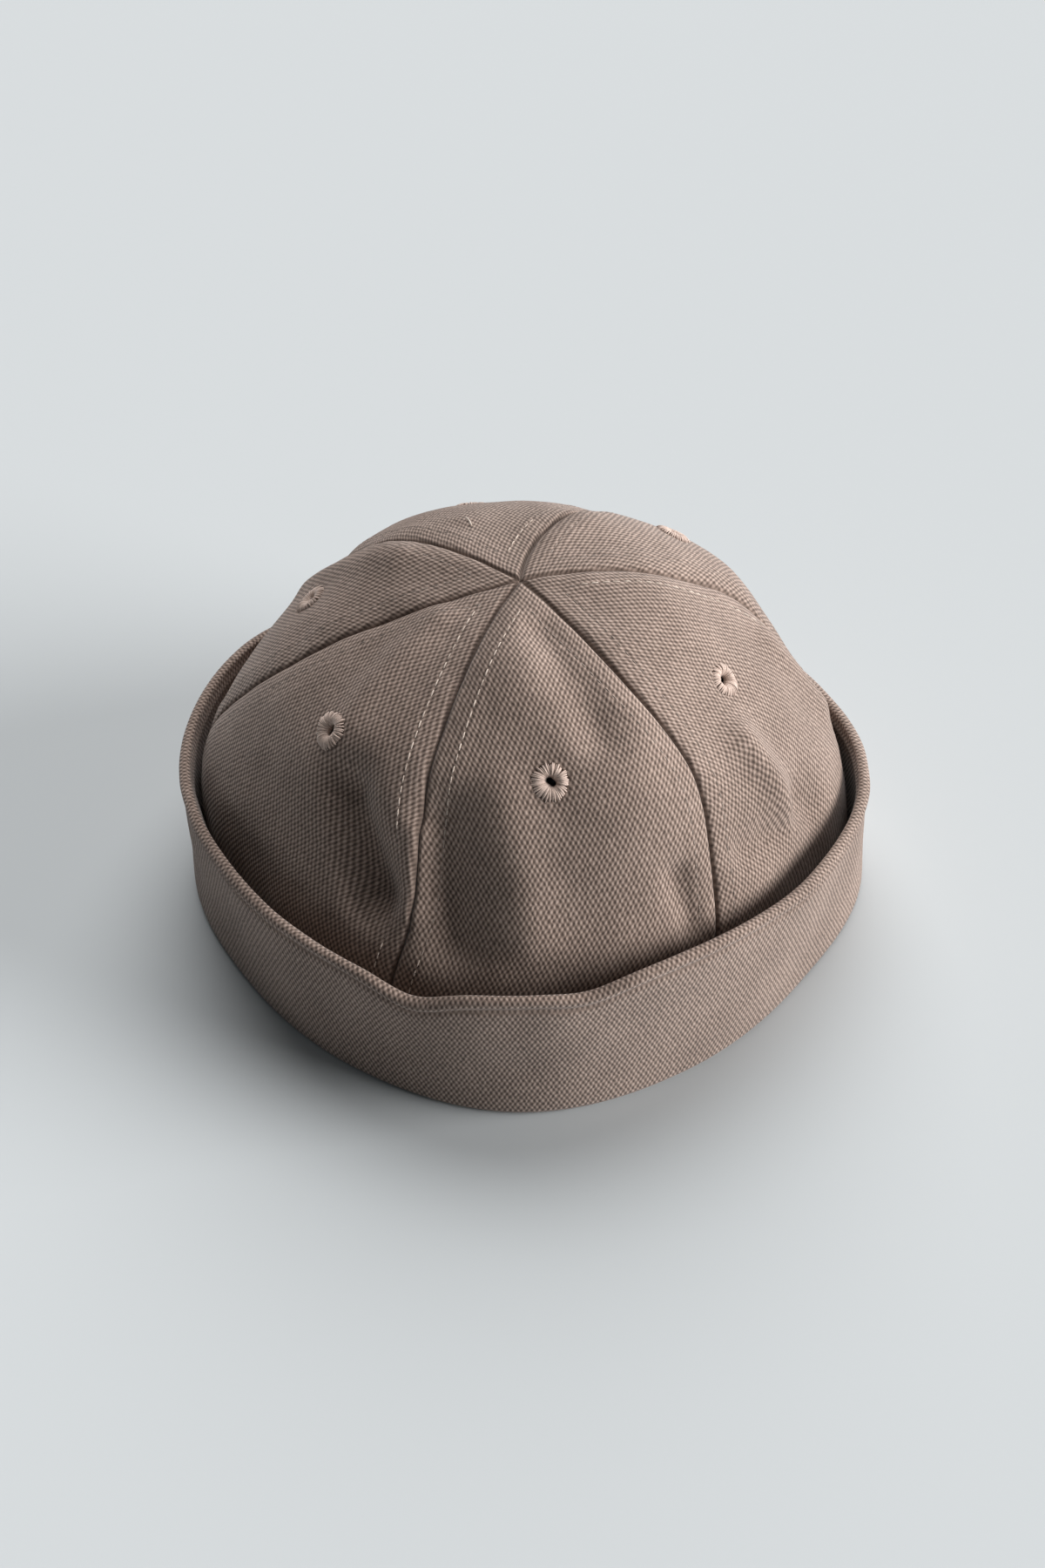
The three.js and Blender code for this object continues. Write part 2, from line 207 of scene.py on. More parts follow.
def ring_points(direction):
    """The dome's points on each ring: share * (spread * sin, height * cos) of the ring's angle."""
    foot, rim, _ = cuff_at(direction)
    room = np.minimum(foot, rim) - CUFF_CLOTH - CUFF_CLEARANCE
    rings = []
    for k, angle in enumerate(np.radians(RING_ANGLES[:5])):
        share = np.ones_like(direction) if k == 0 else around(DOME_SHARES[:, k - 1], direction)
        reach = (BASE_RADIUS * DOME_SPREAD * share * np.sin(angle))[:, None]
        flat = heading(direction) * reach + [0, DOME_LEAN, 0]
        flat *= np.minimum(1, room / np.maximum(np.linalg.norm(flat, axis=1), 1e-9))[:, None]
        flat[:, 2] = DOME_RISE + DOME_HEIGHT * share * np.cos(angle)
        rings.append(flat)
    for up in (CUFF_LEG_HEIGHT + CLOTH, HEM_HEIGHT):
        rings.append(heading(direction) * (foot - FOLD_DEPTH - HEM_CLEARANCE)[:, None] + [0, 0, up])
    return np.stack(rings)


def dome(angle, direction):
    """Plain dome: a cubic down each direction through the ring points, smooth over the top."""
    shape = np.broadcast(angle, direction).shape
    angle = np.broadcast_to(angle, shape).ravel().astype(float)
    direction = np.broadcast_to(direction, shape).ravel().astype(float)
    rings = ring_points(direction)
    gaps = (RING_ANGLES[2:] - RING_ANGLES[:-2])[:, None, None]
    slopes = np.empty_like(rings)
    slopes[0] = (rings[1] - ring_points(direction + 180)[1]) / (2 * RING_ANGLES[1])
    slopes[1:-1] = (rings[2:] - rings[:-2]) / gaps
    slopes[-1] = (rings[-1] - rings[-2]) / (RING_ANGLES[-1] - RING_ANGLES[-2])
    slopes[-2:, :, :2] = 0
    i = np.clip(np.searchsorted(RING_ANGLES, angle) - 1, 0, len(RING_ANGLES) - 2)
    step = (RING_ANGLES[i + 1] - RING_ANGLES[i])[:, None]
    t = (angle - RING_ANGLES[i])[:, None] / step
    at = np.arange(len(angle))
    points = hermite(rings[i, at], rings[i + 1, at], slopes[i, at], slopes[i + 1, at], step, t)
    return points.reshape(shape + (3,))


def seam_direction(name, angle):
    """Cubic through the seam's five directions."""
    values = np.array(SEAMS[name], float)
    slopes = np.gradient(values, SEAM_STEP)
    i = np.clip(np.floor(angle / SEAM_STEP).astype(int), 0, 3)
    t = np.minimum(angle / SEAM_STEP - i, 1)
    return hermite(values[i], values[i + 1], slopes[i], slopes[i + 1], SEAM_STEP, t)


def soft_noise(points, size, seed):
    """Smooth noise from -1 to 1: random values on a lattice of that size, blended between."""
    values = np.random.default_rng(seed).uniform(-1, 1, (32, 32, 32))
    cell = np.floor(points / size).astype(int)
    t = points / size - cell
    t = t * t * (3 - 2 * t)
    total = 0
    for corner in np.ndindex(2, 2, 2):
        weight = np.prod(np.where(corner, t, 1 - t), axis=-1)
        x, y, z = np.moveaxis((cell + corner) % 32, -1, 0)
        total = total + weight * values[x, y, z]
    return total


def panel_frame(start, end, angle, share):
    """Point of the plain dome, and its distance from the nearer seam, at a share across a panel."""
    first, last = seam_direction(start, angle), seam_direction(end, angle)
    last = np.where(last < first, last + 360, last)
    reach = BASE_RADIUS * np.sin(np.radians(np.minimum(angle, 90)))
    half = (last - first) / 2 - np.degrees(SEAM_GAP / 2 / reach)
    direction = (first + last) / 2 + share * half
    near_seam = (1 - np.abs(share)) * np.radians(half) * reach
    return dome(angle, direction), near_seam


def crown(start, end, angle, share):
    """Outer face of a panel: the dome, lifted along the ray from its centre by the panel's puff,
    the folds (bells round straight lines), the seam's relief and small wrinkles."""
    point, near_seam = panel_frame(start, end, angle, share)
    lift = PANEL_PUFF * (1 - share**4) * smoothstep(0, PUFF_STARTS, angle)
    for fold_start, fold_end, height, width in FOLDS:
        a, b = dome(*fold_start), dome(*fold_end)
        along = np.clip(((point - a) @ (b - a)) / ((b - a) @ (b - a)), 0, 1)
        off = np.linalg.norm(point - a - along[..., None] * (b - a), axis=-1)
        lift = lift + height * BASE_RADIUS * np.exp(-((off / (width * BASE_RADIUS)) ** 2))
    lift = lift * (1 - smoothstep(*FOLDS_END, angle))
    turning = smoothstep(*TURNING_STARTS, near_seam) * (1 - smoothstep(*TURNING_ENDS, near_seam))
    row = np.exp(-(((near_seam - STITCH_OFFSET) / STITCH_PULL_WIDTH) ** 2))
    pucker = soft_noise(point, PUCKER_SIZE, 3)
    pucker = pucker * np.exp(-(((near_seam - PUCKER_OFFSET) / PUCKER_WIDTH) ** 2))
    lift = lift + TURNING_RAISE * turning - STITCH_PULL * row + PUCKER * pucker
    lift = lift - GROOVE_DEPTH * np.exp(-((near_seam / GROOVE_WIDTH) ** 2))
    for (height, size), seed in ((SAG, 5), (CRUMPLE, 6)):
        lift = lift + height * soft_noise(point, size, seed)
    outward = point - [0, DOME_LEAN, DOME_RISE]
    outward = outward / np.linalg.norm(outward, axis=-1, keepdims=True)
    return point + outward * lift[..., None]


def grid_normals(points):
    """Unit normals of a grid of points, from its rows crossed with its columns."""
    normal = np.cross(np.gradient(points, axis=0), np.gradient(points, axis=1))
    return normal / np.maximum(np.linalg.norm(normal, axis=-1, keepdims=True), 1e-12)


# The cap's outline, seen from above, is centred over the origin.
OUTLINE = np.arange(0, 360, 5.625)
foot, rim, _ = cuff_at(OUTLINE)
edge = heading(OUTLINE) * np.maximum(rim + CUFF_ROLL, foot)[:, None]
MIDDLE = np.append((edge.max(0)[:2] + edge.min(0)[:2]) / 2, 0)


def mesh_object(name, points, faces, uv=None, girth=(), **attributes):
    """A mesh from vertices and quads, moved so that the outline is centred. The uv is per vertex;
    where a quad spans its jump, the corners on the low side get the girth added."""
    mesh = bpy.data.meshes.new(name)
    mesh.from_pydata((np.asarray(points) - MIDDLE).tolist(), [], faces.tolist())
    if uv is not None:
        corner_uv = np.asarray(uv)[faces]
        for axis, whole in enumerate(girth):
            value = corner_uv[..., axis]
            low = value.max(1, keepdims=True) - value > 0.5 * whole
            value += whole * low
        layer = mesh.uv_layers.new(name="cloth")
        layer.data.foreach_set("uv", corner_uv.astype(np.float32).ravel())
    for key, values in attributes.items():
        layer = mesh.attributes.new(key, "FLOAT", "POINT")
        layer.data.foreach_set("value", np.asarray(values, np.float32).ravel())
    mesh.polygons.foreach_set("use_smooth", np.ones(len(mesh.polygons), bool))
    obj = bpy.data.objects.new(name, mesh)
    bpy.context.scene.collection.objects.link(obj)
    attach(obj, "root")
    return obj


def shell_faces(rows, columns, kept):
    """Quads of a cloth shell: outer and inner grids, and a wall wherever a kept cell ends."""
    index = np.arange(rows * columns).reshape(rows, columns)
    a, b, c, d = index[:-1, :-1], index[1:, :-1], index[1:, 1:], index[:-1, 1:]
    under = rows * columns
    outer = np.stack([a, b, c, d], -1)[kept]
    inner = np.stack([a, d, c, b], -1)[kept] + under
    walls = []
    padded = np.pad(kept, 1)
    for p, q, down, right in ((a, b, 0, -1), (b, c, 1, 0), (c, d, 0, 1), (d, a, -1, 0)):
        beside = np.roll(padded, (-down, -right), (0, 1))[1:-1, 1:-1]
        ends = kept & ~beside
        walls.append(np.stack([p[ends], p[ends] + under, q[ends] + under, q[ends]], -1))
    return np.concatenate([outer, inner, *walls])


# The cloth is drawn in round an eyelet, and cut away in the middle of its stitching.
CUT_RADIUS = 0.0048
EYELET_DIP = 0.0005
EYELET_DIP_WIDTH = 0.008


def eyelet_place(start, end, place):
    """Centre on the cloth, and a turn whose columns are across, down and outward."""
    angle, direction = place
    first, last = seam_direction(start, np.array(angle)), seam_direction(end, np.array(angle))
    last = last + 360 if last < first else last
    share = (2 * direction - first - last) / (last - first)
    angles = angle + np.array([[-1.5], [0], [1.5]])
    shares = share + np.array([[-0.05, 0, 0.05]])
    grid = crown(start, end, angles + 0 * shares, shares + 0 * angles)
    normal = grid_normals(grid)[1, 1]
    down = grid[2, 1] - grid[0, 1]
    down = down - (down @ normal) * normal
    down = down / np.linalg.norm(down)
    return grid[1, 1], np.stack([np.cross(down, normal), down, normal], -1)


PANEL_COLUMNS, PANEL_ROWS = 97, 151
PANEL_TOP_ANGLE = 0.16
# How far the weave sinks out of sight into a seam, darkened there by painted shade, and over what
# width.
SEAM_SINK_AND_SHADE = 0.65
SEAM_SINK_AND_SHADE_WIDTH = 0.0006
panels = []
for name, start, end, place in PANELS:
    across = np.linspace(-1, 1, PANEL_COLUMNS)
    # Columns crowd towards the seams, where the relief is fine.
    share = 0.85 * np.sin(np.pi / 2 * across) + 0.15 * across
    down = np.linspace(PANEL_TOP_ANGLE, HEM_ANGLE, PANEL_ROWS)
    angle, share = np.meshgrid(down, share, indexing="ij")
    outer = crown(start, end, angle, share)
    centre, turn = eyelet_place(start, end, place)
    away = np.linalg.norm(outer - centre, axis=-1)
    dip = EYELET_DIP * np.exp(-((away / EYELET_DIP_WIDTH) ** 2))
    outer = outer - grid_normals(outer) * dip[..., None]
    inner = outer - grid_normals(outer) * CLOTH
    middle = outer[:, PANEL_COLUMNS // 2]
    run = np.append(0, np.cumsum(np.linalg.norm(np.diff(middle, axis=0), axis=1)))
    spread = np.linalg.norm(outer - middle[:, None], axis=-1) * np.sign(share)
    uv = np.stack([spread, run[:, None] + 0 * spread], -1) * 1000
    cells = (outer[:-1, :-1] + outer[1:, 1:]) / 2
    kept = np.linalg.norm(cells - centre, axis=-1) > CUT_RADIUS
    points = np.concatenate([outer.reshape(-1, 3), inner.reshape(-1, 3)])
    faces = shell_faces(PANEL_ROWS, PANEL_COLUMNS, kept)
    near_seam = panel_frame(start, end, angle, share)[1]
    # Near the seam the weave sinks and the colour darkens: painted shade in the seam's groove.
    turned_in = SEAM_SINK_AND_SHADE * np.exp(-((near_seam.ravel() / SEAM_SINK_AND_SHADE_WIDTH) ** 2))
    turned_in = np.tile(turned_in, 2)
    uv = np.tile(uv.reshape(-1, 2), (2, 1))
    panel = mesh_object(f"crown_panel_{name}", points, faces, uv, turned_in=turned_in)
    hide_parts(f"panel_{name}")
    panels.append(panel)


def new_material(name):
    """An empty node material, its output joined to a Principled shader."""
    material = bpy.data.materials.new(name)
    material.use_nodes = True
    nodes, links = material.node_tree.nodes, material.node_tree.links
    return material, nodes, links, nodes["Principled BSDF"]


def math_node(nodes, links, operation, *values):
    """A Math node; each value is a number or a socket."""
    node = nodes.new("ShaderNodeMath")
    node.operation = operation
    for socket, value in zip(node.inputs, values):
        if isinstance(value, (int, float)):
            socket.default_value = value
        else:
            links.new(value, socket)
    return node.outputs[0]


# One repeat of the weave, in millimetres: a grain's width, and two rows of grains.
WEAVE_ACROSS = 1.60
WEAVE_DOWN = 2.80
# How far the yarns sway, in millimetres.
YARN_SWAY = 0.9


def canvas_material():
    """Plain-weave canvas on millimetre UVs. Grains of yarn stand at the peaks of
    cos(2 pi u / across) * cos(2 pi v / down), so each row is half a grain off the next."""
    material, nodes, links, shader = new_material("canvas")
    uv = nodes.new("ShaderNodeUVMap")
    uv.uv_map = "cloth"

    def noise(scale, detail):
        node = nodes.new("ShaderNodeTexNoise")
        node.inputs["Scale"].default_value = scale
        node.inputs["Detail"].default_value = detail
        links.new(uv.outputs[0], node.inputs["Vector"])
        return node

    def maths(operation, *values):
        return math_node(nodes, links, operation, *values)

    split = nodes.new("ShaderNodeSeparateXYZ")
    links.new(uv.outputs[0], split.inputs[0])
    sway = nodes.new("ShaderNodeSeparateColor")
    links.new(noise(0.45, 2).outputs["Color"], sway.inputs[0])
    waves = []
    for axis, repeat in enumerate((WEAVE_ACROSS, WEAVE_DOWN)):
        shift = maths("MULTIPLY", maths("SUBTRACT", sway.outputs[axis], 0.5), YARN_SWAY)
        place = maths("ADD", split.outputs[axis], shift)
        waves.append(maths("COSINE", maths("MULTIPLY", place, 2 * np.pi / repeat)))
    grain = maths("ADD", maths("MULTIPLY", maths("MULTIPLY", *waves), 0.5), 0.5)
    fibre = noise(5.0, 3).outputs["Fac"]
    lively = noise(0.62, 2).outputs["Fac"]
    broad = noise(0.045, 3).outputs["Fac"]
    tone = grain
    for speckle, strength in ((fibre, 0.45), (lively, 0.55), (broad, 0.35)):
        tone = maths("ADD", tone, maths("MULTIPLY", maths("SUBTRACT", speckle, 0.5), strength))
    # This attribute flattens the weave's bump and pulls the colour to a dark tone: painted shade in
    # the seams' grooves and in the cuff's crease.
    crease = nodes.new("ShaderNodeAttribute")
    crease.attribute_name = "turned_in"
    flat = maths("SUBTRACT", 1, crease.outputs["Fac"])
    tone = maths("ADD", maths("MULTIPLY", tone, flat), maths("MULTIPLY", crease.outputs["Fac"], 0.3))
    ramp = nodes.new("ShaderNodeValToRGB")
    stops = [
        (0.05, (0.072, 0.050, 0.040)),
        (0.40, (0.182, 0.133, 0.108)),
        (0.75, (0.325, 0.245, 0.204)),
        (1.00, (0.455, 0.355, 0.303)),
    ]
    while len(ramp.color_ramp.elements) < len(stops):
        ramp.color_ramp.elements.new(0.5)
    for element, (position, colour) in zip(ramp.color_ramp.elements, stops):
        element.position = position
        element.color = (*colour, 1)
    links.new(tone, ramp.inputs[0])
    links.new(ramp.outputs["Color"], shader.inputs["Base Color"])
    height = maths("MULTIPLY", maths("ADD", grain, maths("MULTIPLY", fibre, 0.35)), flat)
    bump = nodes.new("ShaderNodeBump")
    bump.inputs["Strength"].default_value = 0.55
    bump.inputs["Distance"].default_value = 0.00028
    links.new(height, bump.inputs["Height"])
    links.new(bump.outputs[0], shader.inputs["Normal"])
    shader.inputs["Roughness"].default_value = 0.95
    shader.inputs["Specular IOR Level"].default_value = 0.15
    shader.inputs["Sheen Weight"].default_value = 0.15
    shader.inputs["Sheen Roughness"].default_value = 0.6
    return material


canvas = canvas_material()
for panel in panels:
    panel.data.materials.append(canvas)


# ---- Topstitching
# Two rows of lockstitch run beside every crown seam, one on each side, and hold its turnings flat.
# Each stitch is a short twisted cotton thread that dives into the cloth at both ends.

STITCH_PITCH = 0.0033
STITCH_LENGTH = 0.0026
STITCH_SCATTER = 0.00012
# The stitched stretch of a seam, in degrees from the vertical.
STITCH_SPAN = (2.5, 80)
THREAD_RADIUS = 0.00021
THREAD_SIDES = 6
# A stitch arches over the cloth and dives at its ends; a thread that matches the cloth lies deeper.
THREAD_ARCH = 0.00016
THREAD_DIVE = 0.00022
DULL_THREAD_SINK = 0.00016


def tubes(paths, radii):
    """Closed tubes along paths (count, steps, 3): a ring round each step's direction, of the step's
    radius, and two quads over each six-sided end."""
    count, steps, _ = paths.shape
    along = np.gradient(paths, axis=1)
    along /= np.linalg.norm(along, axis=-1, keepdims=True)
    helper = np.where(np.abs(along[..., 2:]) > 0.9, [1.0, 0, 0], [0, 0, 1.0])
    side = np.cross(along, helper)
    side /= np.linalg.norm(side, axis=-1, keepdims=True)
    up = np.cross(along, side)
    turn = np.linspace(0, 2 * np.pi, THREAD_SIDES, endpoint=False)
    ring = side[:, :, None] * np.cos(turn)[:, None] + up[:, :, None] * np.sin(turn)[:, None]
    points = paths[:, :, None] + ring * np.asarray(radii)[None, :, None, None]
    index = np.arange(count * steps * THREAD_SIDES).reshape(count, steps, THREAD_SIDES)
    after = np.roll(index, -1, 2)
    walls = np.stack([index[:, :-1], after[:, :-1], after[:, 1:], index[:, 1:]], -1).reshape(-1, 4)
    ends = []
    for cap in (index[:, 0, ::-1], index[:, -1]):
        ends.append(cap[:, [0, 1, 2, 3]])
        ends.append(cap[:, [0, 3, 4, 5]])
    return points.reshape(-1, 3), np.concatenate([walls, *ends])


def thread_material(name, dark, light):
    """Cotton thread: each thread's own tone, plus a fine twist, picks between two colours."""
    material, nodes, links, shader = new_material(name)
    own = nodes.new("ShaderNodeAttribute")
    own.attribute_name = "thread_tone"
    place = nodes.new("ShaderNodeTexCoord")
    twist = nodes.new("ShaderNodeTexNoise")
    twist.inputs["Scale"].default_value = 1400
    links.new(place.outputs["Object"], twist.inputs["Vector"])
    uneven = math_node(nodes, links, "SUBTRACT", twist.outputs["Fac"], 0.5)
    tone = math_node(nodes, links, "ADD", own.outputs["Fac"], uneven)
    ramp = nodes.new("ShaderNodeValToRGB")
    for element, position, colour in zip(ramp.color_ramp.elements, (0.1, 0.9), (dark, light)):
        element.position = position
        element.color = (*colour, 1)
    links.new(tone, ramp.inputs[0])
    links.new(ramp.outputs["Color"], shader.inputs["Base Color"])
    shader.inputs["Roughness"].default_value = 0.7
    shader.inputs["Sheen Weight"].default_value = 0.2
    return material


# Each panel's rows, at its first and last seam: the stretches, in degrees from the top, where a
# pale thread lies on the cloth. Elsewhere the thread matches the canvas.
PALE_ROWS = {
    "front": ([(3, 47), (66, 72)], []),
    "right": ([], [(8, 44)]),
    "back_right": ([], []),
    "back_left": ([(3, 16)], []),
    "left": ([], []),
    "front_left": ([], [(9, 46), (65, 71)]),
}
pale_thread = thread_material("pale_seam_thread", (0.36, 0.29, 0.24), (0.68, 0.58, 0.50))
dull_thread = thread_material("canvas_coloured_thread", (0.15, 0.117, 0.096), (0.29, 0.23, 0.195))
for number, (name, start, end, place) in enumerate(PANELS):
    chance = np.random.default_rng(70 + number)
    paths, pale = [], []
    for side, stretches in zip((-1, 1), PALE_ROWS[name]):
        angle = np.linspace(*STITCH_SPAN, 400)
        first, last = seam_direction(start, angle), seam_direction(end, angle)
        last = np.where(last < first, last + 360, last)
        half = np.radians((last - first) / 2) * BASE_RADIUS * np.sin(np.radians(angle))
        share = side * (1 - STITCH_OFFSET / np.maximum(half, STITCH_OFFSET * 1.02))
        line = crown(start, end, angle, share)
        run = np.append(0, np.cumsum(np.linalg.norm(np.diff(line, axis=0), axis=1)))
        begin = np.arange(3 * STITCH_PITCH, run[-1] - STITCH_PITCH, STITCH_PITCH)
        begin = begin + chance.normal(0, STITCH_SCATTER, len(begin))
        t = np.linspace(0, 1, 7)
        reach = begin[:, None] + t * STITCH_LENGTH
        path = np.stack([np.interp(reach, run, line[:, k]) for k in range(3)], -1)
        outward = path - [0, DOME_LEAN, DOME_RISE]
        outward /= np.linalg.norm(outward, axis=-1, keepdims=True)
        at = np.interp(begin, run, angle)
        shows = np.zeros(len(begin), bool)
        for low, high in stretches:
            shows |= (at > low) & (at < high)
        arch = THREAD_ARCH * np.sin(np.pi * t) - THREAD_DIVE * (2 * t - 1) ** 6
        paths.append(path + outward * (arch - DULL_THREAD_SINK * ~shows[:, None])[..., None])
        pale.append(shows)
    paths, pale = np.concatenate(paths), np.concatenate(pale)
    radii = THREAD_RADIUS * np.array([0.45, 0.85, 1, 1, 1, 0.85, 0.45])
    for kind, rows, thread in (("dull", ~pale, dull_thread), ("pale", pale, pale_thread)):
        if rows.any():
            points, faces = tubes(paths[rows], radii)
            tone = np.repeat(chance.uniform(0.2, 0.9, rows.sum()), len(points) // rows.sum())
            stitches = mesh_object(f"{kind}_topstitching_{name}", points, faces, thread_tone=tone)
            stitches.data.materials.append(thread)


# One short loose end of pale thread lies on the back left panel, near the top.
LOOSE_ANGLES = np.array([[17.0, 20.3]])
LOOSE_SHARES = np.array([[0.32, 0.30]])
loose_start, loose_end = crown("back", "back_left", LOOSE_ANGLES, LOOSE_SHARES)[0]
t = np.linspace(0, 1, 9)[:, None]
loose = loose_start + (loose_end - loose_start) * t
loose = loose + [0, 0, 0.0006] + np.array([0.0002, 0, 0.0003]) * np.sin(np.pi * t)
points, faces = tubes(loose[None], 0.00030 * np.array([0.5, 0.9, 1, 1, 1, 1, 1, 0.9, 0.5]))
loose_thread = mesh_object("loose_thread", points, faces, thread_tone=np.full(len(points), 0.6))
loose_thread.data.materials.append(pale_thread)


# ---- Eyelets
# One ventilation hole in each panel. Its edge is worked with close radial buttonhole stitches in a
# pale pinkish thread, over the raw edge of the punched cloth, so the hole closes to a small oval.

EYELET_HOLE = 0.0014
EYELET_THREADS = 60
EYELET_SINK = 0.0005
HOLE_SHIFT = np.array([-0.0004, -0.0002])
HOLE_OVAL = 0.0003
HOLE_SHIFT_REACH = 0.0052
EYELET_THREAD_RADIUS = 0.00026
# The threads' outer ends, and their uneven reach; how high they arch over the edge, how deep they
# dive into the hole, and how far they sink at the outer end.
EYELET_REACH = 0.0057
REACH_WAVE = 0.0002
REACH_SCATTER = 0.0002
EYELET_ARCH = 0.0010
HOLE_DIVE = 0.0018
OUTER_SINK = 0.0004
# Section of the bound cloth's edge under the threads: distance from the middle, and height.
BOUND_EDGE = np.array([
    [EYELET_HOLE, -0.0010], [EYELET_HOLE + 0.0006, -0.0019], [0.0046, -0.0019],
    [0.0051, -0.0015], [0.0051, -0.0003], [0.0043, 0.0002],
    [0.0030, 0.0004], [EYELET_HOLE + 0.0007, 0.0000],
])
BOUND_AROUND, BOUND_STEPS = 48, len(BOUND_EDGE)


def hole_shift(bearing, out, slant):
    """Points round an eyelet. The hole's edge is moved up and to the right, as seen from outside,
    and stretched to an oval; both die off outwards."""
    near = np.clip((HOLE_SHIFT_REACH - out) / (HOLE_SHIFT_REACH - EYELET_HOLE), 0, 1)[..., None]
    oval = HOLE_OVAL * np.cos(2 * (bearing - slant))[..., None]
    ray = np.stack([np.cos(bearing), np.sin(bearing)], -1)
    return ray * (out[..., None] + oval * near) + HOLE_SHIFT * near


eyelet_thread = thread_material("eyelet_thread", (0.33, 0.24, 0.195), (0.58, 0.455, 0.39))
for number, (name, start, end, place) in enumerate(PANELS):
    centre, turn = eyelet_place(start, end, place)
    centre = centre - turn[:, 2] * EYELET_SINK
    chance = np.random.default_rng(40 + number)
    slant = chance.uniform(0, np.pi)
    grid = (BOUND_AROUND, BOUND_STEPS)
    bearing = np.linspace(0, 2 * np.pi, BOUND_AROUND, endpoint=False)[:, None]
    bearing = np.broadcast_to(bearing, grid)
    flat = hole_shift(bearing, np.broadcast_to(BOUND_EDGE[:, 0], grid), slant)
    ring = np.concatenate([flat, np.broadcast_to(BOUND_EDGE[:, 1:], grid + (1,))], -1)
    ring = ring.reshape(-1, 3)
    index = np.arange(len(ring)).reshape(grid)
    onward = np.roll(index, -1, 0)
    ring_faces = np.stack([index, onward, np.roll(onward, -1, 1), np.roll(index, -1, 1)], -1)
    t = np.linspace(0, 1, 9)
    begin = np.linspace(0, 2 * np.pi, EYELET_THREADS, endpoint=False)[:, None]
    begin = begin + chance.normal(0, 0.03, (EYELET_THREADS, 1))
    bearing = begin + chance.normal(0, 0.04, (EYELET_THREADS, 1)) * t
    reach = EYELET_REACH + REACH_WAVE * np.sin(3 * begin + slant)
    reach = reach + chance.normal(0, REACH_SCATTER, begin.shape)
    out = EYELET_HOLE - 0.0001 + (reach - EYELET_HOLE) * t**1.1
    up = EYELET_ARCH * np.sin(np.pi * (0.14 + t * 0.84)) ** 0.8 - HOLE_DIVE * (1 - t) ** 4
    up = up + chance.normal(0, 0.00007, begin.shape) - OUTER_SINK * t**6
    paths = np.concatenate([hole_shift(bearing, out, slant), up[..., None]], -1)
    radii = EYELET_THREAD_RADIUS * np.array([0.6, 0.7, 0.8, 0.9, 1, 1, 1, 0.9, 0.5])
    thread_points, thread_faces = tubes(paths, radii)
    points = np.concatenate([ring, thread_points]) @ turn.T + centre
    faces = np.concatenate([ring_faces.reshape(-1, 4), thread_faces + len(ring)])
    each = chance.uniform(0.5, 1.0, EYELET_THREADS)
    # The bound ring takes the threads' dark brown: the canvas's own colour, kept dark as painted
    # shade between the threads.
    tone = np.append(np.full(len(ring), 0.15), np.repeat(each, len(thread_points) // EYELET_THREADS))
    eyelet = mesh_object(f"stitched_eyelet_{name}", points, faces, thread_tone=tone)
    eyelet.data.materials.append(eyelet_thread)
    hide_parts(f"eyelet_{name}")


# ---- Cuff
# A band of doubled canvas, sewn to the crown's hem by a short inner leg and turned up outside it.
# Its top is a rolled fold with a crease under it, and its foot is pressed flat by the cap's weight.

CUFF_AROUND = 420
CUFF_STEPS = 132
# Waves of the band: height and size. They die out at the foot and at the rim.
CUFF_WAVE = (0.0011, 0.030)
CUFF_RIPPLE = (0.0003, 0.011)
# The crease under the rolled edge: distance from the top, depth and width, and its painted shade's
# darkness and width.
CREASE_DROP = 0.0046
CREASE_DEPTH = 0.0008
CREASE_WIDTH = 0.0008
CREASE_PAINTED_SHADE = 0.55
CREASE_PAINTED_SHADE_WIDTH = 0.0007
# The step of the section, on the outer face, that the weave's girth is measured along.
GIRTH_STEP = 30


def cuff_section(direction):
    """Corners of the cuff's section, counted from the foot up the outer face and down the inner."""
    foot, rim, height = cuff_at(direction)
    floor = 0 * foot
    leg = foot - FOLD_DEPTH
    roll = height - CUFF_ROLL_HEIGHT
    corners = [
        (foot - CUFF_CORNER, floor),
        (foot - 0.3 * CUFF_CORNER, floor + 0.3 * CUFF_CORNER),
        (foot, floor + CUFF_CORNER),
        (foot + (rim - foot) * 0.3, 0.3 * height),
        (foot + (rim - foot) * 0.65, 0.65 * height),
        (foot + (rim - foot) * roll / height, roll),
        (rim + CUFF_ROLL, roll + 0.3 * CUFF_ROLL_HEIGHT),
        (rim + CUFF_ROLL, roll + 0.8 * CUFF_ROLL_HEIGHT),
        (rim - 0.25 * CUFF_CLOTH, height),
        (rim - 0.75 * CUFF_CLOTH, height),
        (rim - CUFF_CLOTH, roll + 0.8 * CUFF_ROLL_HEIGHT),
        (foot + (rim - foot) * 0.5 - CUFF_CLOTH, 0.5 * height),
        (foot - CUFF_CLOTH, floor + CUFF_FLOOR + 0.2 * CUFF_SLOT),
        (foot - CUFF_CLOTH - CUFF_SLOT, floor + CUFF_FLOOR),
        (foot - CUFF_CLOTH - CUFF_SLOT, floor + CUFF_LEG_HEIGHT),
        (leg, floor + CUFF_LEG_HEIGHT),
        (leg, floor + 0.5 * CUFF_CORNER),
        (leg + 0.5 * CUFF_CORNER, floor),
    ]
    return np.stack([np.stack(corner, -1) for corner in corners], 1)


